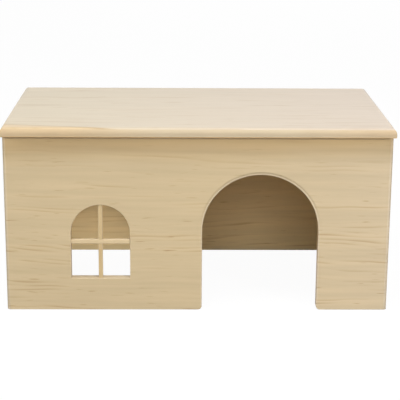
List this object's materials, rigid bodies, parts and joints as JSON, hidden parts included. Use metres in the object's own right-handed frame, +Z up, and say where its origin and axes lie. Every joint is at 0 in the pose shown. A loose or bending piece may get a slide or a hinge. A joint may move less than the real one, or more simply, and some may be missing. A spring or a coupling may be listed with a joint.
{
  "type": "wooden rabbit house",
  "caption": "Flat-roofed wooden rabbit house: board walls with an arched doorway and an arched, cross-barred window, no floor, and a roof board that lifts off its pegs.",
  "frame": {"origin": "middle of the roof's footprint, on the ground that the walls stand on", "axes": "+X to the right as seen from the front, +Y from the front panel to the back panel, +Z up"},
  "size_m": [0.4, 0.23, 0.196],
  "materials": {
    "front_pine": "bare, planed and sanded",
    "wall_pine": "bare, planed and sanded",
    "roof_pine": "bare, planed and sanded",
    "strip_pine": "bare, sawn and sanded",
    "dowel_beech": "bare, turned"
  },
  "bodies": {
    "house": {"front_panel": "front_pine", "back_panel": "wall_pine", "left_side_panel": "wall_pine", "right_side_panel": "wall_pine", "window_mullion": "strip_pine", "window_transom": "strip_pine", "front_left_dowels": "dowel_beech", "front_right_dowels": "dowel_beech", "back_left_dowels": "dowel_beech", "back_right_dowels": "dowel_beech", "front_left_roof_peg": "dowel_beech", "front_right_roof_peg": "dowel_beech", "back_left_roof_peg": "dowel_beech", "back_right_roof_peg": "dowel_beech"},
    "roof": {"roof_board": "roof_pine"}
  },
  "joints": [
    {"name": "roof_lift", "type": "slide", "parent": "house", "child": "roof", "axis": [0, 0, 1], "range_m": [0, 0.12]}
  ]
}
